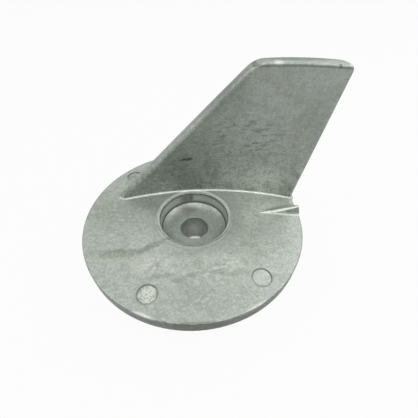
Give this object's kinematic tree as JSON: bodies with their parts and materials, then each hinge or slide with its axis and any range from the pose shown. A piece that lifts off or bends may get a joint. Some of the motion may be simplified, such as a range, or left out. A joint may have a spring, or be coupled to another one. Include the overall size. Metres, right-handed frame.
{
  "type": "trim tab sacrificial anode",
  "caption": "Round disc anode with a swept steering fin, a counterbored bolt pocket, a bolt boss behind it and a raised index pointer at its rim.",
  "frame": {"origin": "centre of the bolt hole, on the end face of the boss", "axes": "+Z along the bolt from the boss towards the fin, +X aft to the index pointer, +Y from the pocket to the fin"},
  "size_m": [0.0892, 0.0804, 0.0679],
  "materials": {
    "cast_aluminium": "as cast, matt grey, lightly stained and mottled"
  },
  "bodies": {
    "root": {"anode_casting": "cast_aluminium"}
  },
  "joints": []
}
